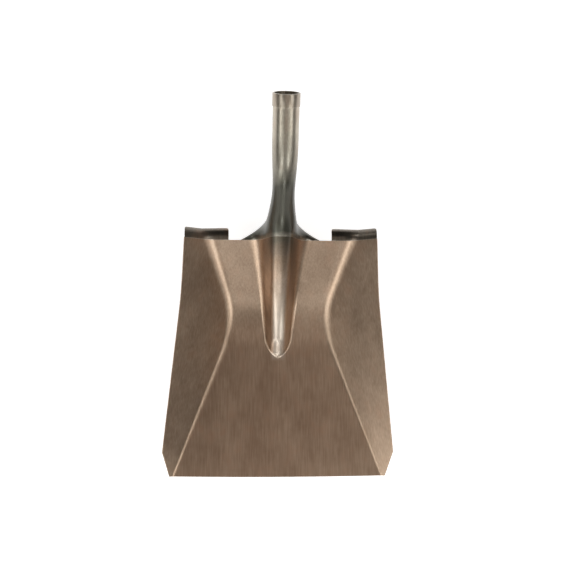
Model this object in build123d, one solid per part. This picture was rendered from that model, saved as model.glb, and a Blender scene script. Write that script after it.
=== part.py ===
from build123d import *
import os
from math import acos, asin, atan, cos, hypot, pi, radians, sin, sqrt, tan

# Millimetres. +Y runs from the front edge to the socket, +X to the right, +Z up.
# The pan lies on its flat floor. The formulas count Y from the front edge and Z from the floor's
# underside; every part is written with the origin under the middle of the head's whole length.

MIDDLE_Y = 274.33           # half the whole length, front edge to mouth

# Sheet
SHEET = 1.6                 # thickness of the blank

# Pan: floor and sloping back
PAN_LENGTH = 361.0          # front edge to the top edge, in plan
FLOOR_LENGTH = 189.0        # where the floor starts to bend up
BACK_ANGLE = 29.6           # slope of the back
BEND_RADIUS = 200.0         # bend between floor and back
FLOOR_SPARE = 0.15          # spare metal under the floor before it is cut flat
FLOOR_SPARE_FADE = 3.0
# Pan: side walls
FLOOR_HALF_WIDTH = 162.5    # crease to centre line at the front edge
CREASE_TAPER = 0.392        # how fast the floor narrows to the rear
WALL_SLOPE = 0.851          # rise over run of a side wall
CREASE_RADIUS_FRONT = 12.0  # bend between floor and side wall
CREASE_RADIUS_REAR = 44.0
CREASE_GROWTH = 2           # the crease opens out mostly near the top edge
# Pan: outline in plan
WIDEST_HALF = 178.0         # half the overall width
WIDEST_Y = 39.4             # where it is reached, behind the clipped front corner
WAIST_HALF = 149.0          # half width where the side edge turns
WAIST_Y = 278.0
REAR_TAPER = 0.06           # taper of the side edge behind the waist
WAIST_BLEND = 26.0          # length of the turn, each way from the waist
FRONT_BOW = 1.6             # how far the front edge bows forward in the middle
CORNER_HALF = 168.0         # front edge's half width between its clipped corners
# Frog: the raised ridge in the back
TOE_Y = 181.0               # front end of the ridge
NOSE = 33.0                 # length over which the toe rises
TOE_HEIGHT = 18.0
ROOT_HEIGHT = 50.0          # height over the back at the top edge
TOE_CREST_RADIUS = 11.0     # round of the crest
ROOT_CREST_RADIUS = 16.2
TOE_FOOT_RADIUS = 8.0       # hollow where a flank meets the back
ROOT_FOOT_RADIUS = 28.0
FOOT_GROWTH = 3             # the foot widens mostly near the top edge
FLANK_ANGLE = 68.0          # slope of the flanks, across
# Socket
FLARE_HALF_WIDTH = 60.0     # half width of the flare where it meets the top edge
NECK_RADIUS = 16.2          # outside radius at the narrowest place
SEAT_RADIUS = 18.5          # outside radius at the mouth
BORE_RADIUS = 17.0          # reamed seat for the handle
SEAT_LENGTH = 67.6
STEEP_ANGLE = 52.7          # slope of the neck
MOUTH_ANGLE = 23.3          # slope of the seat
FLARE_LENGTH = 74.0         # top edge to the closed neck, along the crest
SWAN_LENGTH = 80.9          # neck to seat, along the crest
STEEPENING = 0.7            # share of the flare over which the crest gets steeper
CLOSING_POWER = 2.4         # how fast the flare rolls up
OUTLINE_POWER = 2.0         # how fast the flare narrows
SEAM_GAP = 1.4              # open seam behind, closed by a weld
LEAD_IN = 0.5               # bevel that lets the handle into the mouth
NAIL_RADIUS = 2.2           # cross hole for the handle's nail
NAIL_FROM_MOUTH = 34.0
# Ferrule band
BAND_LENGTH = 18.0
BAND_WALL = 0.8
BAND_EDGE = 0.4             # round of its outer edges
BAND_SLIP = 0.08            # clearance of the band on the socket
# Treads
TREAD_INNER = 78.0          # inner end of a tread, from the centre line
TREAD_OUTER = 143.0
TREAD_RADIUS = 12.0
TREAD_TURN = 112.0          # how far the tread is rolled over
TREAD_ROUND = 6.0           # length of the round at each end
TREAD_END_TURN = 0.55       # share of the turn left at the very end
# Welds
BEAD_HALF_WIDTH = 2.2
BEAD_PROUD = 1.1            # how far a bead's back stands out
BEAD_FLAT = 0.01            # bow of a bead's foot on a flat sheet
BEAD_TUCK = 0.3             # a tread's bead sits this much nearer the edge
BEAD_END_GAP = 3.0          # a tread's bead stops this short of its ends
NECK_BEAD_END_GAP = 4.0
SEAM_BEAD_END_GAP = 1.0
WELD_GAP = 0.12             # a bead's foot lies this far off the sheet

SLOPE_STEP = 0.05           # step for measuring the sheet's slope
SOCKET_LENGTH = FLARE_LENGTH + SWAN_LENGTH + SEAT_LENGTH


def mix(a, b, t):
    return a + (b - a) * t


def clamp(t, high=1.0):
    return min(max(t, 0.0), high)


def ease(t):
    t = clamp(t)
    return t * t * (3 - 2 * t)


def steps(start, end, count):
    return [mix(start, end, i / count) for i in range(count)]


def back_rise(y):
    """Height of the floor and back on the centre line, without the frog."""
    slope = radians(BACK_ANGLE)
    run = BEND_RADIUS * sin(slope)
    past = y - FLOOR_LENGTH
    if past <= 0:
        return 0.0
    if past < run:
        return BEND_RADIUS - sqrt(BEND_RADIUS ** 2 - past ** 2)
    return BEND_RADIUS * (1 - cos(slope)) + (past - run) * tan(slope)


def frog_section(y):
    """Crest radius, foot radius, height, turned angle and flank run of the frog at y."""
    along = clamp((y - TOE_Y) / (PAN_LENGTH - TOE_Y), 1.1)
    crest = mix(TOE_CREST_RADIUS, ROOT_CREST_RADIUS, along)
    foot = mix(TOE_FOOT_RADIUS, ROOT_FOOT_RADIUS, along ** FOOT_GROWTH)
    height = mix(TOE_HEIGHT, ROOT_HEIGHT, along) * ease((y - TOE_Y) / NOSE)
    turn = acos(max(1 - height / (crest + foot), cos(radians(FLANK_ANGLE))))
    flank_drop = max(height - (crest + foot) * (1 - cos(turn)), 0.0)
    flank_run = flank_drop / tan(turn) if flank_drop > 0 else 0.0
    return crest, foot, height, turn, flank_run


def frog_height(x, y):
    crest, foot, height, turn, flank_run = frog_section(y)
    crest_end = crest * sin(turn)
    flank_end = crest_end + flank_run
    width = flank_end + foot * sin(turn)
    x = abs(x)
    if x >= width:
        return 0.0
    if x < crest_end:
        return height - crest + sqrt(crest ** 2 - x ** 2)
    if x < flank_end:
        return height - crest * (1 - cos(turn)) - (x - crest_end) * tan(turn)
    return foot - sqrt(foot ** 2 - (width - x) ** 2)


def crease_at(y):
    """Where the side wall's plane meets the floor or back, and the wall's slope across."""
    slope = WALL_SLOPE / hypot(1, CREASE_TAPER)
    return FLOOR_HALF_WIDTH - CREASE_TAPER * y + back_rise(y) / slope, slope


def crease_span(y):
    corner, slope = crease_at(y)
    radius = mix(CREASE_RADIUS_FRONT, CREASE_RADIUS_REAR, (y / PAN_LENGTH) ** CREASE_GROWTH)
    reach = radius * tan(atan(slope) / 2)
    return corner - reach, corner + reach * cos(atan(slope)), radius, slope


def pan_height(x, y):
    start, end, radius, slope = crease_span(y)
    corner = crease_at(y)[0]
    height = back_rise(y) + frog_height(x, y)
    x = abs(x)
    if x > end:
        return height + (x - corner) * slope
    if x > start:
        return height + radius - sqrt(radius ** 2 - (x - start) ** 2)
    return height


def slopes(x, y, ahead=SLOPE_STEP):
    """Slope of the sheet across and along the pan; ahead is 0 at the top edge, where the pan ends."""
    across = (pan_height(x + SLOPE_STEP, y) - pan_height(x - SLOPE_STEP, y)) / (2 * SLOPE_STEP)
    along = (pan_height(x, y + ahead) - pan_height(x, y - SLOPE_STEP)) / (ahead + SLOPE_STEP)
    return across, along


def edge_half_width(y):
    """Half width of the pan's outline in plan."""
    front_taper = (WIDEST_HALF - WAIST_HALF) / (WAIST_Y - WIDEST_Y)
    past = (y - WAIST_Y) / WAIST_BLEND
    if past > 1:
        return WAIST_HALF - REAR_TAPER * (y - WAIST_Y)
    front = WIDEST_HALF - front_taper * (y - WIDEST_Y)
    if past < -1:
        return front
    return front + (front_taper - REAR_TAPER) * WAIST_BLEND * ((past + 1) / 2) ** 2


def half_row(y):
    """Places across half the pan, close together where the sheet is bent, as many at every y."""
    crest, foot, _, _, _ = frog_section(max(y, TOE_Y + NOSE))
    turn = radians(FLANK_ANGLE)
    height = mix(TOE_HEIGHT, ROOT_HEIGHT, clamp((y - TOE_Y) / (PAN_LENGTH - TOE_Y), 1.1))
    shortest_flank = 0.5
    run = max(height - (crest + foot) * (1 - cos(turn)), shortest_flank) / tan(turn)
    crest_end = crest * sin(turn)
    foot_start = crest_end + run
    foot_end = foot_start + foot * sin(turn)
    start, end, _, _ = crease_span(y)
    row = steps(0, crest_end, 8) + steps(crest_end, foot_start, 4) + steps(foot_start, foot_end, 7)
    row += steps(foot_end, start, 7) + steps(start, end, 10) + steps(end, edge_half_width(y), 6)
    return row + [edge_half_width(y)]


def full_section(lower, upper, places):
    """Closed outline of the sheet from its two half rows, right half first on the centre line."""
    places = [-p for p in reversed(places[1:])] + list(places)
    span = places[-1] - places[0]
    shares = [(p - places[0]) / span for p in places]
    under = mirrored_row(lower)
    over = mirrored_row(upper)
    edges = [
        Edge.make_spline(under, parameters=shares),
        Edge.make_line(under[-1], over[-1]),
        Edge.make_spline(list(reversed(over)), parameters=[1 - p for p in reversed(shares)]),
        Edge.make_line(over[0], under[0]),
    ]
    return Wire(edges)


def mirrored_row(half):
    """A full row of points from the right half, which starts on the centre line."""
    return [Vector(-p[0], p[1], p[2]) for p in reversed(half[1:])] + [Vector(*p) for p in half]


def front_trim():
    """Everything in front of the bowed front edge and its two clipped corners."""
    run = WIDEST_HALF - CORNER_HALF
    past = 0.3
    side = WIDEST_HALF + run * past
    side_y = WIDEST_Y * (1 + past)
    margin = 30.0
    corners = Polyline(
        (CORNER_HALF, 0),
        (side, side_y),
        (side + margin, side_y),
        (side + margin, -margin),
        (-side - margin, -margin),
        (-side - margin, side_y),
        (-side, side_y),
        (-CORNER_HALF, 0),
    )
    bow = ThreePointArc((-CORNER_HALF, 0), (0, -FRONT_BOW), (CORNER_HALF, 0))
    return Pos(0, 0, -margin) * extrude(make_face(corners + bow), 3 * margin)


def over_point(x, y):
    """Point on the pan's upper side over (x, y), kept in the same upright section."""
    across, along = slopes(x, y)
    lift = SHEET * sqrt(1 + across ** 2 + along ** 2) / (1 + across ** 2)
    return x - across * lift, y, pan_height(x, y) + lift


def spare_under(x, y):
    """Spare metal under the floor, cut away again so that the floor's underside is truly flat."""
    return FLOOR_SPARE * (1 - ease(pan_height(x, y) / FLOOR_SPARE_FADE))


TYPICAL_ROW_Y = 0.65 * PAN_LENGTH   # every section is spaced like this one, so that they loft smoothly


def pan_section(y):
    row = half_row(y)
    lower = [(x, y, pan_height(x, y) - spare_under(x, y)) for x in row]
    upper = [over_point(x, y) for x in row]
    return full_section(lower, upper, half_row(TYPICAL_ROW_Y))


def make_pan():
    lines = steps(-2 * FRONT_BOW, TOE_Y - 6, 9) + steps(TOE_Y - 6, TOE_Y + NOSE, 12)
    lines += steps(TOE_Y + NOSE, PAN_LENGTH, 18) + [PAN_LENGTH]
    sheet = Solid.make_loft([pan_section(y) for y in lines])
    below = Box(2 * PAN_LENGTH, 4 * PAN_LENGTH, 10, align=(Align.CENTER, Align.CENTER, Align.MAX))
    return sheet - below - front_trim()


def flare_turning(u):
    """Angle the sheet has turned at the share u of its half width at the top edge, and that half width."""
    turn = radians(FLANK_ANGLE)
    crest, foot, _, _, flank_run = frog_section(PAN_LENGTH)
    flank = flank_run / cos(turn)
    shoulder = FLARE_HALF_WIDTH - (crest + foot) * sin(turn) - flank_run
    lengths = [crest * turn, flank, foot * turn, shoulder]
    total = sum(lengths)
    place = u * total
    if place < lengths[0]:
        return place / crest, total
    if place < lengths[0] + lengths[1]:
        return turn, total
    place -= lengths[0] + lengths[1]
    return max(turn - place / foot, 0.0), total


def crest_path(s):
    """Point on the crest's underside and its slope, s mm along the crest from the top edge."""
    start = atan((pan_height(0, PAN_LENGTH) - pan_height(0, PAN_LENGTH - 1)))
    steep, calm = radians(STEEP_ANGLE), radians(MOUTH_ANGLE)
    y, z, at, step = PAN_LENGTH, pan_height(0, PAN_LENGTH), 0.0, 0.5

    def slope_at(place):
        if place < FLARE_LENGTH:
            return mix(start, steep, ease(place / (STEEPENING * FLARE_LENGTH)))
        return mix(steep, calm, ease((place - FLARE_LENGTH) / SWAN_LENGTH))

    while at < s:
        go = min(step, s - at)
        middle = slope_at(at + go / 2)
        y += go * cos(middle)
        z += go * sin(middle)
        at += go
    return y, z, slope_at(s)


def outside_radius(s):
    """Outside radius of the closed neck and seat."""
    return mix(NECK_RADIUS, SEAT_RADIUS, ease((s - FLARE_LENGTH) / SWAN_LENGTH))


def socket_section(s):
    """Outline of the socket's sheet, s mm along the crest from the top edge."""
    y, z, slope = crest_path(s)
    share = clamp(s / FLARE_LENGTH)
    closing = 1 - (1 - share) ** CLOSING_POWER
    radius = outside_radius(s) - SHEET
    full_turn = pi - SEAM_GAP / 2 / radius
    tilt = slope * ease(share)
    length = mix(flare_turning(0)[1], radius * full_turn, 1 - (1 - share) ** OUTLINE_POWER)
    lift = SHEET / cos(slope - tilt)
    count, fine = 36, 6
    lower, upper = [(0.0, y, z)], [(0.0, y - lift * sin(tilt), z + lift * cos(tilt))]
    across, down = 0.0, 0.0
    for i in range(count * fine):
        u = (i + 0.5) / (count * fine)
        turned = mix(flare_turning(u)[0], full_turn * u, closing)
        across += cos(turned) * length / (count * fine)
        down += sin(turned) * length / (count * fine)
        if i % fine == fine - 1:
            u = (i + 1) / (count * fine)
            turned = mix(flare_turning(u)[0], full_turn * u, closing)
            lower.append((across, y + down * sin(tilt), z - down * cos(tilt)))
            out, rise = across + lift * sin(turned), lift * cos(turned) - down
            upper.append((out, y - rise * sin(tilt), z + rise * cos(tilt)))
    return full_section(lower, upper, [i / count for i in range(count + 1)])


def seat_plane():
    """Plane across the mouth, its normal along the handle and out of the socket."""
    y, z, slope = crest_path(SOCKET_LENGTH)
    down = SEAT_RADIUS - SHEET
    centre = (0, y + down * sin(slope), z - down * cos(slope))
    return Plane(origin=centre, x_dir=(1, 0, 0), z_dir=(0, cos(slope), sin(slope)))


def make_socket():
    seat_start = FLARE_LENGTH + SWAN_LENGTH
    lines = steps(0, FLARE_LENGTH, 16) + steps(FLARE_LENGTH, seat_start, 16)
    lines += steps(seat_start, SOCKET_LENGTH, 10) + [SOCKET_LENGTH]
    sheet = Solid.make_loft([socket_section(s) for s in lines])
    mouth = seat_plane()
    reamer = mouth * Pos(0, 0, -SEAT_LENGTH) * Cylinder(
        BORE_RADIUS, SEAT_LENGTH + 10, align=(Align.CENTER, Align.CENTER, Align.MIN))
    nail = mouth * Pos(0, 0, -NAIL_FROM_MOUTH) * Rot(0, 90, 0) * Cylinder(NAIL_RADIUS, 60)
    lead_in = mouth * Pos(0, 0, -LEAD_IN / 2) * Cone(BORE_RADIUS, BORE_RADIUS + LEAD_IN, LEAD_IN)
    return sheet - reamer - lead_in - nail


def make_mouth_band():
    inner = SEAT_RADIUS + BAND_SLIP
    low = (Align.CENTER, Align.CENTER, Align.MIN)
    ring = Cylinder(inner + BAND_WALL, BAND_LENGTH, align=low) - Cylinder(inner, BAND_LENGTH, align=low)
    ring = fillet(ring.edges().filter_by(GeomType.CIRCLE).group_by(SortBy.RADIUS)[-1], BAND_EDGE)
    return seat_plane() * Pos(0, 0, -BAND_LENGTH) * ring


def top_edge_frame(x):
    """Point on the underside of the top edge, the way the sheet rises and its normal."""
    across, along = slopes(x, PAN_LENGTH, 0.0)
    normal = Vector(-across, -along, 1).normalized()
    edge = Vector(1, 0, across).normalized()
    return Vector(x, PAN_LENGTH, pan_height(x, PAN_LENGTH)), normal.cross(edge), normal


def tread_turn(x):
    """How far the tread is rolled at x; it runs out in a round at each end."""
    share = clamp(min(x - TREAD_INNER, TREAD_OUTER - x) / TREAD_ROUND)
    return radians(TREAD_TURN) * mix(TREAD_END_TURN, 1.0, sqrt(1 - (1 - share) ** 2))


def tread_section(x):
    """Section of the right tread in the upright plane at x, rolled straight back."""
    across, along = slopes(x, PAN_LENGTH, 0.0)
    slope = atan(along)
    wall = SHEET * sqrt(1 + across ** 2 + along ** 2) / sqrt(1 + along ** 2)
    count = 10

    def arc_points(radius):
        """Arc that starts in the upright plane of the top edge."""
        start = slope - asin(TREAD_RADIUS * sin(slope) / radius)
        points = []
        for i in range(count + 1):
            turned = mix(start, tread_turn(x), i / count)
            rise, out = radius * sin(turned), radius * cos(turned) - TREAD_RADIUS
            y = PAN_LENGTH + rise * cos(slope) - out * sin(slope)
            z = pan_height(x, PAN_LENGTH) + rise * sin(slope) + out * cos(slope)
            points.append(Vector(x, y, z))
        return points

    under, over = arc_points(TREAD_RADIUS), arc_points(TREAD_RADIUS + wall)
    return Wire([
        Edge.make_spline(under),
        Edge.make_line(under[-1], over[-1]),
        Edge.make_spline(list(reversed(over))),
        Edge.make_line(over[0], under[0]),
    ])


def make_tread():
    """Right tread, rolled back over the top edge and cut square at both ends."""
    rounding = [TREAD_ROUND * share for share in (0.0, 0.12, 0.35, 0.65, 1.0)]
    places = [TREAD_INNER + r for r in rounding]
    places += steps(TREAD_INNER + TREAD_ROUND, TREAD_OUTER - TREAD_ROUND, 14)[1:]
    places += [TREAD_OUTER - r for r in reversed(rounding)]
    return Solid.make_loft([tread_section(x) for x in places])


def bead_section(middle, side, out, hollow):
    """Outline of a bead: its foot bows out by hollow, its back stands proud of the foot."""
    left, right = middle - side * BEAD_HALF_WIDTH, middle + side * BEAD_HALF_WIDTH
    return Wire([
        Edge.make_three_point_arc(left, middle + out * hollow, right),
        Edge.make_three_point_arc(right, middle + out * BEAD_PROUD, left),
    ])


def edge_bead(start, end, count, forward):
    """Bead under the top edge from x = start to x = end."""
    wires = []
    for x in steps(start, end, count) + [end]:
        edge, rise, normal = top_edge_frame(x)
        middle = edge - normal * WELD_GAP - rise * forward
        wires.append(bead_section(middle, rise, -normal, BEAD_FLAT))
    return Solid.make_loft(wires)


def make_tread_weld():
    """Bead under the joint of the right tread and the pan."""
    start, end = TREAD_INNER + BEAD_END_GAP, TREAD_OUTER - BEAD_END_GAP
    return edge_bead(start, end, 14, BEAD_HALF_WIDTH - BEAD_TUCK)


def make_neck_weld():
    """Bead across the back of the frog where the socket meets the pan."""
    reach = FLARE_HALF_WIDTH - NECK_BEAD_END_GAP
    return edge_bead(-reach, reach, 48, BEAD_HALF_WIDTH)


def make_seam_weld():
    """Bead along the socket's seam, from the closed neck to the band."""
    end = SOCKET_LENGTH - BAND_LENGTH - SEAM_BEAD_END_GAP
    wires = []
    for s in steps(FLARE_LENGTH, end, 16) + [end]:
        y, z, slope = crest_path(s)
        radius = outside_radius(s) + WELD_GAP
        dip = radius - sqrt(radius ** 2 - BEAD_HALF_WIDTH ** 2)
        out = Vector(0, sin(slope), -cos(slope))
        middle = Vector(0, y, z) + out * (2 * radius - SHEET - WELD_GAP - dip)
        wires.append(bead_section(middle, Vector(1, 0, 0), out, dip))
    return Solid.make_loft(wires)


def write(name, shape):
    export_step(Pos(0, -MIDDLE_Y, 0) * shape, f"parts/{name}.step")


def write_pair(name, right):
    write(f"right_{name}", right)
    write(f"left_{name}", mirror(right, about=Plane.YZ))


def main():
    os.makedirs("parts", exist_ok=True)
    write("pan", make_pan())
    write("socket", make_socket())
    write("mouth_band", make_mouth_band())
    write("neck_weld", make_neck_weld())
    write("seam_weld", make_seam_weld())
    write_pair("step", make_tread())
    write_pair("step_weld", make_tread_weld())


main()
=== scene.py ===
import random
from math import acos, asin, atan, cos, hypot, pi, radians, sin, sqrt, tan

import bmesh
import bpy
from mathutils import Matrix, Vector


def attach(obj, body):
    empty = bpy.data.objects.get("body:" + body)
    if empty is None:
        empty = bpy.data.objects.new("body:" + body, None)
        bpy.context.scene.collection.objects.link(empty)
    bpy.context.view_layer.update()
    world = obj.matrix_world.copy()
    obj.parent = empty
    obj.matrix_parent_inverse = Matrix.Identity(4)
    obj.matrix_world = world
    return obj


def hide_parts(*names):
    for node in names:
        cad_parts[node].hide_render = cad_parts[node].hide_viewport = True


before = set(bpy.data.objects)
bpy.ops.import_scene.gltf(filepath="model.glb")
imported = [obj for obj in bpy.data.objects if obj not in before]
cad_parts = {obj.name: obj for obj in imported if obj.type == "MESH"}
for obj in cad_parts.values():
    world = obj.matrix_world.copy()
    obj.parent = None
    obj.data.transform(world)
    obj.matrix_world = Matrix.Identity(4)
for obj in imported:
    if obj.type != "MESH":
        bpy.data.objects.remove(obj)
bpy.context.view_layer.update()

# ---------------------------------------------------------------- shape, in millimetres
# The CAD source's driving dimensions. Y counts from the front corners and Z from the floor's underside,
# until metres() moves a point into the shared frame.

MM = 0.001
MIDDLE_Y = 274.33           # half the whole length, front corners to mouth
SHEET = 1.6                 # thickness of the blank

# Pan: floor and sloping back
PAN_LENGTH = 361.0          # front corners to the top edge, in plan
FLOOR_LENGTH = 189.0        # where the floor starts to bend up
BACK_ANGLE = 29.6           # slope of the back
BEND_RADIUS = 200.0         # bend between floor and back
# Pan: side walls
FLOOR_HALF_WIDTH = 162.5    # crease to centre line at the front edge
CREASE_TAPER = 0.392        # how fast the floor narrows to the rear
WALL_SLOPE = 0.851          # rise over run of a side wall
CREASE_RADIUS_FRONT = 12.0  # bend between floor and side wall
CREASE_RADIUS_REAR = 44.0
CREASE_GROWTH = 2           # the crease opens out mostly near the top edge
# Pan: outline in plan
WIDEST_HALF = 178.0         # half the overall width
WIDEST_Y = 39.4             # where it is reached, behind the clipped front corner
WAIST_HALF = 149.0          # half width where the side edge turns
WAIST_Y = 278.0
REAR_TAPER = 0.06           # taper of the side edge behind the waist
WAIST_BLEND = 26.0          # length of the turn, each way from the waist
CORNER_HALF = 168.0         # front edge's half width between its clipped corners
FRONT_BOW = 1.6             # how far the front edge bows forward in the middle
BOW_FADE = 40.0             # how far behind the front edge the bow dies out
# Frog: the raised ridge in the back
TOE_Y = 181.0               # front end of the ridge
NOSE = 33.0                 # length over which the toe rises
TOE_HEIGHT = 18.0
ROOT_HEIGHT = 50.0          # height over the back at the top edge
TOE_CREST_RADIUS = 11.0     # round of the crest
ROOT_CREST_RADIUS = 16.2
TOE_FOOT_RADIUS = 8.0       # hollow where a flank meets the back
ROOT_FOOT_RADIUS = 28.0
FOOT_GROWTH = 3             # the foot widens mostly near the top edge
FLANK_ANGLE = 68.0          # slope of the flanks, across
FROG_SPARE = 1.1            # the formulas hold this share of the frog's length, a little past its root
# Socket
FLARE_HALF_WIDTH = 60.0     # half width of the flare where it meets the top edge
NECK_RADIUS = 16.2          # outside radius at the narrowest place
SEAT_RADIUS = 18.5          # outside radius at the mouth
SEAM_GAP = 1.4              # open seam behind, closed by a weld
STEEP_ANGLE = 52.7          # slope of the neck
MOUTH_ANGLE = 23.3          # slope of the seat
FLARE_LENGTH = 74.0         # top edge to the closed neck, along the crest
SWAN_LENGTH = 80.9          # neck to seat, along the crest
SEAT_LENGTH = 67.6
SOCKET_LENGTH = FLARE_LENGTH + SWAN_LENGTH + SEAT_LENGTH
STEEPENING = 0.7            # share of the flare over which the crest gets steeper
CLOSING_POWER = 2.4         # how fast the flare rolls up
OUTLINE_POWER = 2.0         # how fast the flare narrows
NAIL_RADIUS = 2.2           # cross hole for the handle's nail
NAIL_FROM_MOUTH = 34.0
DRILL_LENGTH = 60.0
# Ferrule band
BAND_LENGTH = 18.0
BAND_WALL = 0.8
BAND_EDGE = 0.4             # round of its outer edges
BAND_SLIP = 0.08            # clearance of the band on the socket
# Treads
TREAD_INNER = 78.0          # inner end of a tread, from the centre line
TREAD_OUTER = 143.0
TREAD_RADIUS = 12.0
TREAD_TURN = 112.0          # how far the tread is rolled over
TREAD_ROUND = 6.0           # length of the round at each end
TREAD_END_TURN = 0.55       # share of the turn left at the very end
# Welds
BEAD_HALF_WIDTH = 2.2
BEAD_PROUD = 1.1            # how far a bead's back stands out
BEAD_TUCK = 0.3             # a tread's bead sits this much nearer the edge
BEAD_END_GAP = 3.0          # a tread's bead stops this short of its ends
NECK_BEAD_END_GAP = 4.0
SEAM_BEAD_END_GAP = 1.0
WELD_GAP = 0.12             # a bead's foot lies this far off the sheet
RIPPLE_LENGTH = 1.9         # one ripple of the weld pool, along the bead
RIPPLE_ROWS = 4             # rows of points in one ripple
RIPPLE_LOW, RIPPLE_SWING, RIPPLE_CHANCE = 0.78, 0.22, 0.05    # shares of the bead's height
BEAD_END_ROWS, BEAD_END_START = 6, 0.3                        # rows over which a bead's end tapers
# Mesh
SLOPE_STEP = 0.05           # step for measuring the sheet's slope
CREST_STEP = 0.5            # spacing of the points on the socket's crest
TOE_MARGIN = 4.0            # the pan's rows are close together from this far in front of the toe
SHORTEST_FLANK = 0.5        # room that a row of points always leaves for the frog's flank
EDGE_LINE_INSET = 0.1       # the top edge's slope is measured this far in front of it
EDGE_BEVEL = 0.35           # round of the sheets' edges
BEVEL_ANGLE = 50            # only corners sharper than this are rounded
SOCKET_COLUMNS, SOCKET_FINENESS = 56, 4                       # across one half; integration steps in each
TREAD_ROWS = 24             # round a tread
BAND_AROUND, BEAD_AROUND = 128, 14


def mix(a, b, t):
    return a + (b - a) * t


def clamp(t, high=1.0):
    return min(max(t, 0.0), high)


def ease(t):
    t = clamp(t)
    return t * t * (3 - 2 * t)


def steps(start, end, count):
    """Evenly spaced places from start, without the end itself."""
    return [mix(start, end, i / count) for i in range(count)]


def back_rise(y):
    """Height of the floor and back on the centre line, without the frog."""
    slope = radians(BACK_ANGLE)
    run = BEND_RADIUS * sin(slope)
    past = y - FLOOR_LENGTH
    if past <= 0:
        return 0.0
    if past < run:
        return BEND_RADIUS - sqrt(BEND_RADIUS ** 2 - past ** 2)
    return BEND_RADIUS * (1 - cos(slope)) + (past - run) * tan(slope)


def frog_section(y):
    """The frog's cross-section at y: a round crest, straight flanks, a hollow foot."""
    along = clamp((y - TOE_Y) / (PAN_LENGTH - TOE_Y), FROG_SPARE)
    crest = mix(TOE_CREST_RADIUS, ROOT_CREST_RADIUS, along)
    foot = mix(TOE_FOOT_RADIUS, ROOT_FOOT_RADIUS, along ** FOOT_GROWTH)
    height = mix(TOE_HEIGHT, ROOT_HEIGHT, along) * ease((y - TOE_Y) / NOSE)
    turn = acos(max(1 - height / (crest + foot), cos(radians(FLANK_ANGLE))))
    flank_drop = max(height - (crest + foot) * (1 - cos(turn)), 0.0)
    flank_run = flank_drop / tan(turn) if flank_drop > 0 else 0.0
    return crest, foot, height, turn, flank_run


def frog_height(x, y):
    """How far the frog stands over the back."""
    crest, foot, height, turn, flank_run = frog_section(y)
    crest_end = crest * sin(turn)
    flank_end = crest_end + flank_run
    width = flank_end + foot * sin(turn)
    x = abs(x)
    if x >= width:
        return 0.0
    if x < crest_end:
        return height - crest + sqrt(crest ** 2 - x ** 2)
    if x < flank_end:
        return height - crest * (1 - cos(turn)) - (x - crest_end) * tan(turn)
    return foot - sqrt(foot ** 2 - (width - x) ** 2)


def crease_span(y):
    """Where the crease bends at y: its corner, start, end and radius, and the wall's slope."""
    slope = WALL_SLOPE / hypot(1, CREASE_TAPER)
    corner = FLOOR_HALF_WIDTH - CREASE_TAPER * y + back_rise(y) / slope
    radius = mix(CREASE_RADIUS_FRONT, CREASE_RADIUS_REAR, (y / PAN_LENGTH) ** CREASE_GROWTH)
    reach = radius * tan(atan(slope) / 2)
    return corner, corner - reach, corner + reach * cos(atan(slope)), radius, slope


def pan_height(x, y):
    """Height of the pan's underside."""
    corner, start, end, radius, slope = crease_span(y)
    height = back_rise(y) + frog_height(x, y)
    x = abs(x)
    if x > end:
        return height + (x - corner) * slope
    if x > start:
        return height + radius - sqrt(radius ** 2 - (x - start) ** 2)
    return height


def edge_half_width(y):
    """Half width of the outline at y, with the clipped front corners."""
    front_taper = (WIDEST_HALF - WAIST_HALF) / (WAIST_Y - WIDEST_Y)
    past = (y - WAIST_Y) / WAIST_BLEND
    clipped = CORNER_HALF + (WIDEST_HALF - CORNER_HALF) * y / WIDEST_Y
    if past > 1:
        return WAIST_HALF - REAR_TAPER * (y - WAIST_Y)
    front = WIDEST_HALF - front_taper * (y - WIDEST_Y)
    if past < -1:
        return min(front, clipped)
    return front + (front_taper - REAR_TAPER) * WAIST_BLEND * ((past + 1) / 2) ** 2


def half_row(y):
    """Places across half the pan, close together where the sheet is bent."""
    crest, foot, _, _, _ = frog_section(max(y, TOE_Y + NOSE))
    turn = radians(FLANK_ANGLE)
    height = mix(TOE_HEIGHT, ROOT_HEIGHT, clamp((y - TOE_Y) / (PAN_LENGTH - TOE_Y)))
    run = max(height - (crest + foot) * (1 - cos(turn)), SHORTEST_FLANK) / tan(turn)
    crest_end = crest * sin(turn)
    foot_start = crest_end + run
    foot_end = foot_start + foot * sin(turn)
    _, start, end, _, _ = crease_span(y)
    edge = edge_half_width(y)
    row = steps(0, crest_end, 14) + steps(crest_end, foot_start, 6) + steps(foot_start, foot_end, 14)
    return row + steps(foot_end, start, 12) + steps(start, end, 16) + steps(end, edge, 12) + [edge]


def slopes(x, y):
    """Slope of the pan at a point, across and along."""
    across = (pan_height(x + SLOPE_STEP, y) - pan_height(x - SLOPE_STEP, y)) / (2 * SLOPE_STEP)
    along = (pan_height(x, y + SLOPE_STEP) - pan_height(x, y - SLOPE_STEP)) / (2 * SLOPE_STEP)
    return across, along


def bowed(x, y):
    """The front edge bows forward a little in the middle."""
    fade = clamp(1 - y / BOW_FADE)
    return y - FRONT_BOW * fade * max(1 - (x / CORNER_HALF) ** 2, 0)


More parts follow.
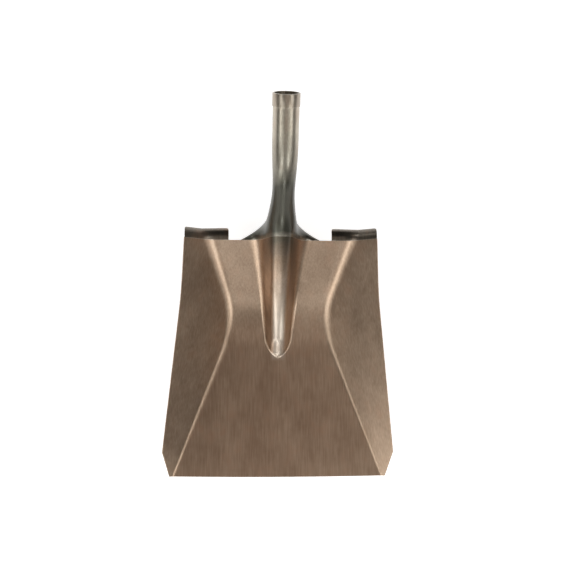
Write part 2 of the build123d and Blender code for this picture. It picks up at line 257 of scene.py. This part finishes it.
def crest_path():
    """Points along the socket's crest, as (y, z, slope)."""
    start = atan(pan_height(0, PAN_LENGTH) - pan_height(0, PAN_LENGTH - 1))
    steep, calm = radians(STEEP_ANGLE), radians(MOUTH_ANGLE)

    def slope_at(place):
        if place < FLARE_LENGTH:
            return mix(start, steep, ease(place / (STEEPENING * FLARE_LENGTH)))
        return mix(steep, calm, ease((place - FLARE_LENGTH) / SWAN_LENGTH))

    y, z = PAN_LENGTH, pan_height(0, PAN_LENGTH)
    path = []
    for i in range(int(SOCKET_LENGTH / CREST_STEP) + 2):
        path.append((y, z, slope_at(i * CREST_STEP)))
        y += CREST_STEP * cos(slope_at((i + 0.5) * CREST_STEP))
        z += CREST_STEP * sin(slope_at((i + 0.5) * CREST_STEP))
    return path


CREST_PATH = crest_path()


def crest_at(s):
    """The crest s mm from the top edge: y, z and slope."""
    place = s / CREST_STEP
    low = min(int(place), len(CREST_PATH) - 2)
    return [mix(a, b, place - low) for a, b in zip(CREST_PATH[low], CREST_PATH[low + 1])]


def flare_turning(u):
    """Angle the sheet has turned at the share u of its half width at the top edge, and that half width."""
    turn = radians(FLANK_ANGLE)
    crest, foot, _, _, flank_run = frog_section(PAN_LENGTH)
    flank = flank_run / cos(turn)
    shoulder = FLARE_HALF_WIDTH - (crest + foot) * sin(turn) - flank_run
    total = crest * turn + flank + foot * turn + shoulder
    place = u * total
    if place < crest * turn:
        return place / crest, total
    if place < crest * turn + flank:
        return turn, total
    return max(turn - (place - crest * turn - flank) / foot, 0.0), total


def socket_radius(s):
    """Outside radius of the socket, s mm along the crest."""
    return mix(NECK_RADIUS, SEAT_RADIUS, ease((s - FLARE_LENGTH) / SWAN_LENGTH))


def socket_rows(s):
    """Right half of the socket's sheet, s mm along the crest: its inner and its outer side."""
    y, z, slope = crest_at(s)
    share = clamp(s / FLARE_LENGTH)
    closing = 1 - (1 - share) ** CLOSING_POWER
    radius = socket_radius(s) - SHEET
    full_turn = pi - SEAM_GAP / 2 / radius
    tilt = slope * ease(share)
    length = mix(flare_turning(0)[1], radius * full_turn, 1 - (1 - share) ** OUTLINE_POWER)
    lift = SHEET / cos(slope - tilt)
    count, fine = SOCKET_COLUMNS, SOCKET_FINENESS
    lower, upper = [(0.0, y, z)], [(0.0, y - lift * sin(tilt), z + lift * cos(tilt))]
    across, down = 0.0, 0.0
    for i in range(count * fine):
        u = (i + 0.5) / (count * fine)
        turned = mix(flare_turning(u)[0], full_turn * u, closing)
        across += cos(turned) * length / (count * fine)
        down += sin(turned) * length / (count * fine)
        if i % fine == fine - 1:
            u = (i + 1) / (count * fine)
            turned = mix(flare_turning(u)[0], full_turn * u, closing)
            rise = lift * cos(turned) - down
            lower.append((across, y + down * sin(tilt), z - down * cos(tilt)))
            upper.append((across + lift * sin(turned), y - rise * sin(tilt), z + rise * cos(tilt)))
    return lower, upper


def tread_turn(x):
    """How far the tread is rolled over at x, with the round at each end."""
    share = clamp(min(x - TREAD_INNER, TREAD_OUTER - x) / TREAD_ROUND)
    return radians(TREAD_TURN) * mix(TREAD_END_TURN, 1.0, sqrt(1 - (1 - share) ** 2))


def tread_rows(x):
    """Section of the right tread in the upright plane at x: its under and its upper side."""
    across, along = slopes(x, PAN_LENGTH)
    slope = atan(along)
    wall = SHEET * sqrt(1 + across ** 2 + along ** 2) / sqrt(1 + along ** 2)

    def arc(radius):
        start = slope - asin(TREAD_RADIUS * sin(slope) / radius)
        points = []
        for turned in steps(start, tread_turn(x), TREAD_ROWS) + [tread_turn(x)]:
            rise, out = radius * sin(turned), radius * cos(turned) - TREAD_RADIUS
            y = PAN_LENGTH + rise * cos(slope) - out * sin(slope)
            z = pan_height(x, PAN_LENGTH) + rise * sin(slope) + out * cos(slope)
            points.append((x, y, z))
        return points

    return arc(TREAD_RADIUS), arc(TREAD_RADIUS + wall)


# ---------------------------------------------------------------- mesh helpers


def metres(point):
    """A point of the formulas above, in the shared frame."""
    x, y, z = point
    return x * MM, (y - MIDDLE_Y) * MM, z * MM


def make_object(name, vertices, faces):
    """A smooth object whose faces all look outwards."""
    mesh = bpy.data.meshes.new(name)
    mesh.from_pydata(vertices, [], faces)
    mesh.validate()
    shaped = bmesh.new()
    shaped.from_mesh(mesh)
    bmesh.ops.recalc_face_normals(shaped, faces=shaped.faces)
    shaped.to_mesh(mesh)
    shaped.free()
    for polygon in mesh.polygons:
        polygon.use_smooth = True
    made = bpy.data.objects.new(name, mesh)
    bpy.context.collection.objects.link(made)
    return made


def round_edges(made):
    rounding = made.modifiers.new("rounded_edges", "BEVEL")
    rounding.width = EDGE_BEVEL * MM
    rounding.segments = 3
    rounding.limit_method = "ANGLE"
    rounding.angle_limit = radians(BEVEL_ANGLE)
    rounding.harden_normals = False
    shading = made.modifiers.new("even_shading", "WEIGHTED_NORMAL")
    shading.keep_sharp = False


def sheet_faces(rows, columns):
    """Faces of a sheet whose under grid comes first and whose upper grid follows."""
    top = rows * columns
    faces = []
    for j in range(rows - 1):
        for i in range(columns - 1):
            a = j * columns + i
            b, c, d = a + 1, a + columns + 1, a + columns
            faces += [(a, d, c, b), (a + top, b + top, c + top, d + top)]
    rim = list(range(columns))
    rim += [j * columns + columns - 1 for j in range(1, rows)]
    rim += [(rows - 1) * columns + i for i in reversed(range(columns - 1))]
    rim += [j * columns for j in reversed(range(1, rows - 1))]
    for a, b in zip(rim, rim[1:] + rim[:1]):
        faces.append((a, b, b + top, a + top))
    return faces


def make_sheet(name, under, over):
    """A sheet of even thickness from the points of its two sides, as equal grids."""
    vertices = [metres(p) for row in under for p in row] + [metres(p) for row in over for p in row]
    made = make_object(name, vertices, sheet_faces(len(under), len(under[0])))
    round_edges(made)
    return made


def both_halves(half):
    """A whole row from its right half, which starts on the centre line."""
    return [(-x, y, z) for x, y, z in reversed(half[1:])] + list(half)


def mirrored(points_by_row):
    return [[(-x, y, z) for x, y, z in row] for row in points_by_row]


def bead(name, line, seed):
    """A weld bead along a line of centres, with the ripples that its pool leaves."""
    random.seed(seed)
    vertices, faces = [], []
    phase = random.random()
    count = len(line)
    for k, (centre, side, out) in enumerate(line):
        taper = sqrt(clamp((min(k, count - 1 - k) + BEAD_END_START) / BEAD_END_ROWS))
        swing = abs(sin(pi * (k / RIPPLE_ROWS + phase)))
        ripple = RIPPLE_LOW + RIPPLE_SWING * swing + RIPPLE_CHANCE * random.random()
        for i in range(BEAD_AROUND):
            angle = 2 * pi * i / BEAD_AROUND
            proud = BEAD_PROUD * ripple * taper * max(sin(angle), 0)
            place = centre + side * BEAD_HALF_WIDTH * taper * cos(angle) + out * proud
            vertices.append(metres(place))
    for k in range(count - 1):
        for i in range(BEAD_AROUND):
            a, b = k * BEAD_AROUND + i, k * BEAD_AROUND + (i + 1) % BEAD_AROUND
            faces.append((a, b, b + BEAD_AROUND, a + BEAD_AROUND))
    last = (count - 1) * BEAD_AROUND
    faces.append(tuple(reversed(range(BEAD_AROUND))))
    faces.append(tuple(last + i for i in range(BEAD_AROUND)))
    return make_object(name, vertices, faces)


# ---------------------------------------------------------------- pieces


def build_pan():
    """Rows of points across, closest where the frog's toe rises."""
    toe_start, toe_end = TOE_Y - TOE_MARGIN, TOE_Y + NOSE + TOE_MARGIN / 2
    lines = steps(0, WIDEST_Y, 10) + steps(WIDEST_Y, toe_start, 28)
    lines += steps(toe_start, toe_end, 28) + steps(toe_end, PAN_LENGTH, 70) + [PAN_LENGTH]
    under, over = [], []
    for y in lines:
        low, high = [], []
        for x in half_row(y):
            across, along = slopes(x, y)
            lift = SHEET * sqrt(1 + across ** 2 + along ** 2) / (1 + across ** 2)
            z = pan_height(x, y)
            low.append((x, bowed(x, y), z))
            high.append((x - across * lift, bowed(x, y), z + lift))
        under.append(both_halves(low))
        over.append(both_halves(high))
    return make_sheet("pan_shell", under, over)


def mouth_frame():
    """Centre of the socket's mouth and the way the handle leaves it."""
    y, z, slope = crest_at(SOCKET_LENGTH)
    down = SEAT_RADIUS - SHEET
    return Vector((0, y + down * sin(slope), z - down * cos(slope))), Vector((0, cos(slope), sin(slope)))


def drill_nail_hole(shell):
    """Cuts the hole for the handle's nail right through the socket, across."""
    centre, along = mouth_frame()
    bpy.ops.mesh.primitive_cylinder_add(vertices=48, radius=NAIL_RADIUS * MM, depth=DRILL_LENGTH * MM)
    drill = bpy.context.object
    drill.location = metres(centre - along * NAIL_FROM_MOUTH)
    drill.rotation_euler = (0, pi / 2, 0)
    cut = shell.modifiers.new("nail_hole", "BOOLEAN")
    cut.object = drill
    cut.operation = "DIFFERENCE"
    shell.modifiers.move(len(shell.modifiers) - 1, 0)
    bpy.context.view_layer.objects.active = shell
    bpy.ops.object.modifier_apply(modifier="nail_hole")
    bpy.data.objects.remove(drill, do_unlink=True)


def build_socket():
    """Rows of points round the sheet, from the flare at the top edge to the mouth."""
    under, over = [], []
    lines = steps(0, FLARE_LENGTH, 60) + steps(FLARE_LENGTH, SOCKET_LENGTH, 70) + [SOCKET_LENGTH]
    for s in lines:
        low, high = socket_rows(s)
        under.append(both_halves(low))
        over.append(both_halves(high))
    shell = make_sheet("socket_shell", under, over)
    drill_nail_hole(shell)
    return shell


def build_band():
    """Ferrule: a ring with rounded outer edges."""
    centre, along = mouth_frame()
    up = Vector((1, 0, 0)).cross(along)
    inner = SEAT_RADIUS + BAND_SLIP
    outer = inner + BAND_WALL
    quarter = steps(0, pi / 2, 5) + [pi / 2]
    profile = [(0, inner), (-BAND_LENGTH, inner)]
    for a in quarter:
        profile.append((-BAND_LENGTH + BAND_EDGE * (1 - cos(a)), outer - BAND_EDGE * (1 - sin(a))))
    for a in quarter:
        profile.append((-BAND_EDGE * (1 - sin(a)), outer - BAND_EDGE * (1 - cos(a))))
    vertices, faces = [], []
    for k in range(BAND_AROUND):
        angle = 2 * pi * k / BAND_AROUND
        side = Vector((cos(angle), 0, 0)) + up * sin(angle)
        vertices += [metres(centre + along * t + side * r) for t, r in profile]
    count = len(profile)
    for k in range(BAND_AROUND):
        this, following = k * count, (k + 1) % BAND_AROUND * count
        for i in range(count):
            after = (i + 1) % count
            faces.append((this + i, this + after, following + after, following + i))
    return make_object("band_ring", vertices, faces)


def build_tread(name, left):
    """Sections along the tread, closest at its rounded ends."""
    fine = [TREAD_ROUND * (1 - cos(turned)) for turned in steps(0, pi / 2, 8) + [pi / 2]]
    places = [TREAD_INNER + f for f in fine]
    places += steps(TREAD_INNER + TREAD_ROUND, TREAD_OUTER - TREAD_ROUND, 44)[1:]
    places += [TREAD_OUTER - f for f in reversed(fine)]
    pairs = [tread_rows(x) for x in places]
    under, over = [p[0] for p in pairs], [p[1] for p in pairs]
    if left:
        under, over = mirrored(under), mirrored(over)
    return make_sheet(name, under, over)


def bead_places(start, end):
    """Places along a bead, with RIPPLE_ROWS of them in each ripple."""
    return steps(start, end, int((end - start) / RIPPLE_LENGTH * RIPPLE_ROWS)) + [end]


def edge_line(start, end, forward, left=False):
    """Centres, sides and outward ways of a bead under the top edge."""
    flip = Vector((-1, 1, 1)) if left else Vector((1, 1, 1))
    line = []
    for x in bead_places(start, end):
        across, along = slopes(x, PAN_LENGTH - EDGE_LINE_INSET)
        normal = Vector((-across, -along, 1)).normalized()
        rise = normal.cross(Vector((1, 0, across)).normalized())
        centre = Vector((x, PAN_LENGTH, pan_height(x, PAN_LENGTH))) - normal * WELD_GAP - rise * forward
        line.append((centre * flip, rise * flip, -normal * flip))
    return line


def seam_line():
    """The same for the bead that closes the seam behind the socket."""
    line = []
    for s in bead_places(FLARE_LENGTH, SOCKET_LENGTH - BAND_LENGTH - SEAM_BEAD_END_GAP):
        y, z, slope = crest_at(s)
        radius = socket_radius(s) + WELD_GAP
        dip = radius - sqrt(radius ** 2 - BEAD_HALF_WIDTH ** 2)
        out = Vector((0, sin(slope), -cos(slope)))
        line.append((Vector((0, y, z)) + out * (2 * radius - SHEET - WELD_GAP - dip), Vector((1, 0, 0)), out))
    return line


pan = build_pan()
socket = build_socket()
band = build_band()
left_tread = build_tread("left_tread_shell", True)
right_tread = build_tread("right_tread_shell", False)
neck_reach = FLARE_HALF_WIDTH - NECK_BEAD_END_GAP
neck_bead = bead("neck_bead", edge_line(-neck_reach, neck_reach, BEAD_HALF_WIDTH), 3)
seam_bead = bead("seam_bead", seam_line(), 5)
tread_span = (TREAD_INNER + BEAD_END_GAP, TREAD_OUTER - BEAD_END_GAP, BEAD_HALF_WIDTH - BEAD_TUCK)
right_bead = bead("right_tread_bead", edge_line(*tread_span), 7)
left_bead = bead("left_tread_bead", edge_line(*tread_span, left=True), 9)

# ---------------------------------------------------------------- shader helper


class Nodes:
    """A small wrapper that keeps shader code short."""

    def __init__(self, name):
        self.material = bpy.data.materials.new(name)
        self.material.use_nodes = True
        self.tree = self.material.node_tree
        self.tree.nodes.clear()

    def add(self, kind, **settings):
        node = self.tree.nodes.new(kind)
        for key, value in settings.items():
            setattr(node, key, value)
        return node

    def link(self, source, target):
        self.tree.links.new(source, target)

    def coordinates(self, scale):
        place = self.add("ShaderNodeTexCoord")
        mapping = self.add("ShaderNodeMapping")
        mapping.inputs["Scale"].default_value = scale
        self.link(place.outputs["Object"], mapping.inputs["Vector"])
        return mapping.outputs["Vector"]

    def noise(self, vector, scale, detail, roughness=0.55):
        node = self.add("ShaderNodeTexNoise")
        node.inputs["Scale"].default_value = scale
        node.inputs["Detail"].default_value = detail
        node.inputs["Roughness"].default_value = roughness
        self.link(vector, node.inputs["Vector"])
        return node.outputs["Fac"]

    def ramp(self, value, low, high, start=0.0, end=1.0):
        node = self.add("ShaderNodeMapRange", clamp=True)
        node.inputs["From Min"].default_value = low
        node.inputs["From Max"].default_value = high
        node.inputs["To Min"].default_value = start
        node.inputs["To Max"].default_value = end
        self.link(value, node.inputs["Value"])
        return node.outputs["Result"]

    def math(self, operation, first, second):
        node = self.add("ShaderNodeMath", operation=operation)
        for socket, value in zip(node.inputs, (first, second)):
            if isinstance(value, (int, float)):
                socket.default_value = value
            else:
                self.link(value, socket)
        return node.outputs["Value"]

    def mix(self, factor, first, second):
        node = self.add("ShaderNodeMix", data_type="RGBA")
        color_sockets = node.inputs[6], node.inputs[7]
        for socket, value in zip((node.inputs[0], *color_sockets), (factor, first, second)):
            if isinstance(value, (int, float)):
                socket.default_value = value
            elif isinstance(value, tuple):
                socket.default_value = (*value, 1.0)
            else:
                self.link(value, socket)
        return node.outputs[2]


# ---------------------------------------------------------------- materials, in metres

# Bare steel at worn edges; the same colour is the painted highlight on the frog's crest and toe.
BARE_STEEL_AND_HIGHLIGHT = (0.78, 0.70, 0.62)
RUST_TINT = (0.36, 0.19, 0.115)
# Colour of the painted shade round the neck and on the frog's root.
PAINTED_SHADE_COLOR = (0.040, 0.040, 0.030)
# Where the painted shade round the neck fades in and out along the socket, and how much of the steel it
# covers.
NECK_SHADE_SPAN = (0.070, 0.094, 0.150, 0.215)
NECK_SHADE_WANDER, NECK_SHADE_SHARE = 0.006, 0.95
# The same painted shade on the frog: it fades in along Y, and out across X.
ROOT_SHADE_START = (0.030, 0.080)
ROOT_SHADE_HALF_WIDTH = (0.017, 0.029)
ROOT_SHADE_WANDER, ROOT_SHADE_SHARE = 0.005, 0.85
# Polish from the sliding grain, and a painted highlight, on the frog's crest and toe: along Y, and half width
# in X.
POLISH_HIGHLIGHT_SPAN = (-0.096, -0.084, -0.040, 0.052)
POLISH_HIGHLIGHT_HALF_WIDTH = (0.0075, 0.0125)
POLISH_HIGHLIGHT_RANGE, POLISH_HIGHLIGHT_SHARE = (0.35, 0.6), (0.7, 1.0)
WEAR_RADIUS = 0.0012                        # how far from an edge the lacquer is worn
WEAR_TURN = (0.995, 0.90)                   # cosines of the bend between which the wear grows
WEAR_RANGE, WEAR_SHARE = (0.42, 0.56), (0.1, 0.8)
STREAK_STRETCH = (60, 3, 60)                # rolling streaks, long along Y
BLOTCH_STRETCH, BLOTCH_SCALE = (1.0, 0.6, 1.0), 16.0
CLOUD_STRETCH, CLOUD_SCALE = (1.0, 0.7, 1.0), 45.0
STREAK_SCALE, SCRATCH_SCALE = 9.0, 40.0
STREAK_SHARE, BLOTCH_SHARE, CLOUD_SHARE = 0.35, 0.40, 0.25
USUAL_NOISE = (0.3, 0.7)                    # nearly all of a noise's values lie in here
TONE_RANGE = (0.38, 0.62)                   # from the dark to the light lacquer
RUST_RANGE, RUST_SHARE = (0.52, 0.72), 0.30
BARE_AND_HIGHLIGHT_SHARE = 0.6
BUMP_STRENGTH, BUMP_HEIGHT = 0.05, 0.0003
METALLIC, COAT, COAT_ROUGHNESS, WORN_ROUGHNESS = 0.92, 0.3, 0.22, 0.08


def object_axes(m):
    """X, without its sign, and Y of the point in the shared frame."""
    place = m.add("ShaderNodeTexCoord")
    split = m.add("ShaderNodeSeparateXYZ")
    m.link(place.outputs["Object"], split.inputs["Vector"])
    across = m.add("ShaderNodeMath", operation="ABSOLUTE")
    m.link(split.outputs["X"], across.inputs[0])
    return across.outputs["Value"], split.outputs["Y"]


def wander(m, blotch, reach):
    """Pushes a border up to reach either way, so that it isn't a straight line."""
    return m.ramp(blotch, *USUAL_NOISE, -reach, reach)


def span(m, value, places):
    """1 between the middle two of four places, fading to 0 at the outer two."""
    start = m.ramp(value, places[0], places[1])
    end = m.ramp(value, places[2], places[3], 1.0, 0.0)
    return m.math("MULTIPLY", start, end)


def neck_painted_shade(m, blotch):
    """Share of painted shade round the steep neck."""
    along = m.math("ADD", object_axes(m)[1], wander(m, blotch, NECK_SHADE_WANDER))
    return m.math("MULTIPLY", span(m, along, NECK_SHADE_SPAN), NECK_SHADE_SHARE)


def root_painted_shade(m, blotch):
    """The same painted shade on the frog's crest and flanks, next to the neck."""
    across, along = object_axes(m)
    along = m.math("ADD", along, wander(m, blotch, ROOT_SHADE_WANDER))
    start = m.ramp(along, *ROOT_SHADE_START)
    middle = m.ramp(across, *ROOT_SHADE_HALF_WIDTH, 1.0, 0.0)
    return m.math("MULTIPLY", m.math("MULTIPLY", start, middle), ROOT_SHADE_SHARE)


def edge_wear(m, cloud):
    """Share of bare bright metal along the edges and corners, broken up by the clouds."""
    rounded = m.add("ShaderNodeBevel", samples=4)
    rounded.inputs["Radius"].default_value = WEAR_RADIUS
    shape = m.add("ShaderNodeNewGeometry")
    facing = m.add("ShaderNodeVectorMath", operation="DOT_PRODUCT")
    m.link(rounded.outputs["Normal"], facing.inputs[0])
    m.link(shape.outputs["Normal"], facing.inputs[1])
    edge = m.ramp(facing.outputs["Value"], *WEAR_TURN)
    return m.math("MULTIPLY", edge, m.ramp(cloud, *WEAR_RANGE, *WEAR_SHARE))


def crest_polish_and_highlight(m, cloud):
    """Share of bare bright steel on the crest and toe: polish from the sliding grain, and a painted
    highlight.
    """
    across, along = object_axes(m)
    middle = m.ramp(across, *POLISH_HIGHLIGHT_HALF_WIDTH, 1.0, 0.0)
    share = m.math("MULTIPLY", span(m, along, POLISH_HIGHLIGHT_SPAN), middle)
    return m.math("MULTIPLY", share, m.ramp(cloud, *POLISH_HIGHLIGHT_RANGE, *POLISH_HIGHLIGHT_SHARE))


def steel_tone(m, fine_grain, blotch, cloud):
    """How light the lacquer is, from 0 to 1."""
    streaks = m.math("MULTIPLY", fine_grain, STREAK_SHARE)
    tone = m.math("ADD", streaks, m.math("MULTIPLY", blotch, BLOTCH_SHARE))
    return m.ramp(m.math("ADD", tone, m.math("MULTIPLY", cloud, CLOUD_SHARE)), *TONE_RANGE)


def steel_roughness(m, base, fine_grain, blotch, worn_and_highlight):
    """The base roughness, a little uneven, and rougher where it is worn and where the crest's highlight is
    painted.
    """
    patches = m.ramp(blotch, *USUAL_NOISE, -0.02, 0.03)
    uneven = m.math("ADD", patches, m.ramp(fine_grain, *USUAL_NOISE, -0.015, 0.015))
    return m.math("ADD", m.math("ADD", uneven, base), m.math("MULTIPLY", worn_and_highlight, WORN_ROUGHNESS))


def scratches(m):
    """Normals of the faint scratches along the rolling direction."""
    bump = m.add("ShaderNodeBump")
    bump.inputs["Strength"].default_value = BUMP_STRENGTH
    bump.inputs["Distance"].default_value = BUMP_HEIGHT
    m.link(m.noise(m.coordinates(STREAK_STRETCH), SCRATCH_SCALE, detail=3.0), bump.inputs["Height"])
    return bump.outputs["Normal"]


def lacquered_steel(name, dark, light, roughness=0.36, painted_shade=None, polish_and_highlight=False):
    """Rolled steel under a brown lacquer: fine streaks, soft blotches, a little wear at the edges, optionally
    painted shade, and a painted highlight on the frog's crest.
    """
    m = Nodes(name)
    fine_grain = m.noise(m.coordinates(STREAK_STRETCH), STREAK_SCALE, detail=3.0, roughness=0.5)
    blotch = m.noise(m.coordinates(BLOTCH_STRETCH), BLOTCH_SCALE, detail=4.0, roughness=0.6)
    cloud = m.noise(m.coordinates(CLOUD_STRETCH), CLOUD_SCALE, detail=5.0, roughness=0.6)
    color = m.mix(steel_tone(m, fine_grain, blotch, cloud), dark, light)
    color = m.mix(m.ramp(cloud, *RUST_RANGE, 0.0, RUST_SHARE), color, RUST_TINT)
    if painted_shade:
        # Painted shade: a dark patch mixed into the lacquer.
        color = m.mix(painted_shade(m, blotch), color, PAINTED_SHADE_COLOR)
    worn_and_highlight = edge_wear(m, cloud)
    if polish_and_highlight:
        # Adds the painted highlight on the crest and toe to the edge wear.
        worn_and_highlight = m.math("MAXIMUM", worn_and_highlight, crest_polish_and_highlight(m, cloud))
    shader = m.add("ShaderNodeBsdfPrincipled")
    m.link(m.mix(m.math("MULTIPLY", worn_and_highlight, BARE_AND_HIGHLIGHT_SHARE), color, BARE_STEEL_AND_HIGHLIGHT), shader.inputs["Base Color"])
    m.link(steel_roughness(m, roughness, fine_grain, blotch, worn_and_highlight), shader.inputs["Roughness"])
    m.link(scratches(m), shader.inputs["Normal"])
    shader.inputs["Metallic"].default_value = METALLIC
    shader.inputs["Coat Weight"].default_value = COAT
    shader.inputs["Coat Roughness"].default_value = COAT_ROUGHNESS
    out = m.add("ShaderNodeOutputMaterial")
    m.link(shader.outputs["BSDF"], out.inputs["Surface"])
    return m.material


# The pan gets painted shade at the frog's root and a painted highlight on the crest and toe.
pan_steel = lacquered_steel(
    "pan_lacquer", (0.31, 0.21, 0.145), (0.48, 0.345, 0.25), painted_shade=root_painted_shade, polish_and_highlight=True
)
# The socket gets painted shade round its neck.
socket_steel = lacquered_steel("socket_lacquer", (0.41, 0.355, 0.285), (0.61, 0.55, 0.46), painted_shade=neck_painted_shade)
band_steel = lacquered_steel("band_lacquer", (0.34, 0.28, 0.22), (0.48, 0.42, 0.35))
# The treads get a much darker copy of the lacquer: painted shade on the rolled-over steps.
tread_steel = lacquered_steel("tread_lacquer_painted_shade", (0.12, 0.10, 0.08), (0.20, 0.165, 0.13))
weld_steel = lacquered_steel("weld_lacquer", (0.12, 0.10, 0.085), (0.26, 0.22, 0.19), roughness=0.45)

PIECES = (
    (pan, "pan", "pan_steel", pan_steel),
    (socket, "socket", "socket_steel", socket_steel),
    (band, "mouth_band", "band_steel", band_steel),
    (left_tread, "left_step", "tread_steel", tread_steel),
    (right_tread, "right_step", "tread_steel", tread_steel),
    (neck_bead, "neck_weld", "weld_metal", weld_steel),
    (seam_bead, "seam_weld", "weld_metal", weld_steel),
    (left_bead, "left_step_weld", "weld_metal", weld_steel),
    (right_bead, "right_step_weld", "weld_metal", weld_steel),
)
for piece, node, slot, material in PIECES:
    piece.data.materials.clear()
    piece.data.materials.append(material)
    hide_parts(node)
    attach(piece, "root")

# ---------------------------------------------------------------- studio

HALF_FLOOR = 6.0
FLOOR_GAP = 0.0005          # keeps the floor clear of the pan's flat underside
PAPER_GREY, PAPER_ROUGHNESS, PAPER_GLOW = 0.93, 0.9, 0.80


def pale_floor():
    mesh = bpy.data.meshes.new("studio_floor")
    corners = [(x * HALF_FLOOR, y * HALF_FLOOR, 0) for x, y in ((-1, -1), (1, -1), (1, 1), (-1, 1))]
    mesh.from_pydata(corners, [], [(0, 1, 2, 3)])
    paper = Nodes("pale_paper")
    shader = paper.add("ShaderNodeBsdfPrincipled")
    shader.inputs["Base Color"].default_value = (PAPER_GREY, PAPER_GREY, PAPER_GREY, 1)
    shader.inputs["Roughness"].default_value = PAPER_ROUGHNESS
    shader.inputs["Emission Color"].default_value = (1, 1, 1, 1)
    shader.inputs["Emission Strength"].default_value = PAPER_GLOW
    out = paper.add("ShaderNodeOutputMaterial")
    paper.link(shader.outputs["BSDF"], out.inputs["Surface"])
    mesh.materials.append(paper.material)
    made = bpy.data.objects.new("studio_floor", mesh)
    made.location.z = -FLOOR_GAP
    bpy.context.collection.objects.link(made)
    return made


floor = pale_floor()

# Softboxes on a dome round the object: azimuth from the front edge (-Y) towards +X, elevation, watts.
DOME_RADIUS = 2.4
SOFTBOX_SIZE = 0.5
SOFTBOXES = {
    "front": (0, 42, 2.0),
    "front_high": (0, 72, 1.0),
    "front_low": (0, 12, 7.0),
    "front_right": (36, 42, 8.4),
    "right_low": (54, 27, 1.3),
    "right": (72, 42, 4.3),
    "right_high": (63, 70, 0.6),
    "front_left": (324, 42, 6.8),
    "front_left_low": (342, 27, 2.2),
    "left_low": (315, 12, 3.2),
    "left_root": (322, 24, 6.0),
    "right_crease": (90, 52, 3.2),
    "left": (288, 42, 4.8),
    "back_left_low": (234, 27, 5.0),
    "overhead": (142, 85, 0.9),
}
WARM, NEUTRAL = (1.12, 0.97, 0.86), (0.98, 1.01, 0.99)
WARM_ABOVE = 60             # softboxes higher than this are warm
AIM = Vector((0, 0, 0.06))


def softbox(name, azimuth, elevation, watts):
    data = bpy.data.lights.new(name, "AREA")
    data.shape = "SQUARE"
    data.size = SOFTBOX_SIZE
    data.energy = watts
    data.color = WARM if elevation > WARM_ABOVE else NEUTRAL
    light = bpy.data.objects.new(name, data)
    level = cos(radians(elevation))
    around = radians(azimuth)
    place = Vector((sin(around) * level, -cos(around) * level, sin(radians(elevation)))) * DOME_RADIUS
    light.location = place
    light.rotation_euler = (AIM - place).to_track_quat("-Z", "Y").to_euler()
    bpy.context.collection.objects.link(light)


for name, (azimuth, elevation, watts) in SOFTBOXES.items():
    softbox(name, azimuth, elevation, watts)

# The surroundings look white, but hardly light the object: that is left to the softboxes.
SKY_LIGHT, SKY_SEEN = 0.02, 0.95


def white_surroundings():
    world = bpy.data.worlds.new("studio")
    bpy.context.scene.world = world
    world.use_nodes = True
    tree = world.node_tree
    path = tree.nodes.new("ShaderNodeLightPath")
    glow = tree.nodes.new("ShaderNodeMapRange")
    glow.inputs["To Min"].default_value = SKY_LIGHT
    glow.inputs["To Max"].default_value = SKY_SEEN
    tree.links.new(path.outputs["Is Camera Ray"], glow.inputs["Value"])
    background = tree.nodes["Background"]
    background.inputs["Color"].default_value = (1, 1, 1, 1)
    tree.links.new(glow.outputs["Result"], background.inputs["Strength"])


white_surroundings()

# ---------------------------------------------------------------- camera
# Almost straight above the pan. The leans are degrees from upright, towards +X and +Y.

CAMERA_TARGET = Vector((0.01586, 0.0194, 0.0))
CAMERA_DISTANCE, LENS, SENSOR = 1.5071, 59.53, 36.0
LEAN_X, LEAN_Y, ROLL = -3.307, -4.27, 0.1


def place_camera():
    data = bpy.data.cameras.new("camera")
    data.sensor_width = SENSOR
    data.lens = LENS
    camera = bpy.data.objects.new("camera", data)
    bpy.context.collection.objects.link(camera)
    back = Vector((tan(radians(LEAN_X)), tan(radians(LEAN_Y)), 1.0)).normalized()
    right = Vector((0, 1, 0)).cross(back).normalized()
    turn = Matrix((right, back.cross(right), back)).transposed().to_4x4()
    roll = Matrix.Rotation(radians(ROLL), 4, "Z")
    camera.matrix_world = Matrix.Translation(CAMERA_TARGET + back * CAMERA_DISTANCE) @ turn @ roll
    bpy.context.scene.camera = camera


place_camera()
bpy.context.scene.view_settings.view_transform = "Standard"
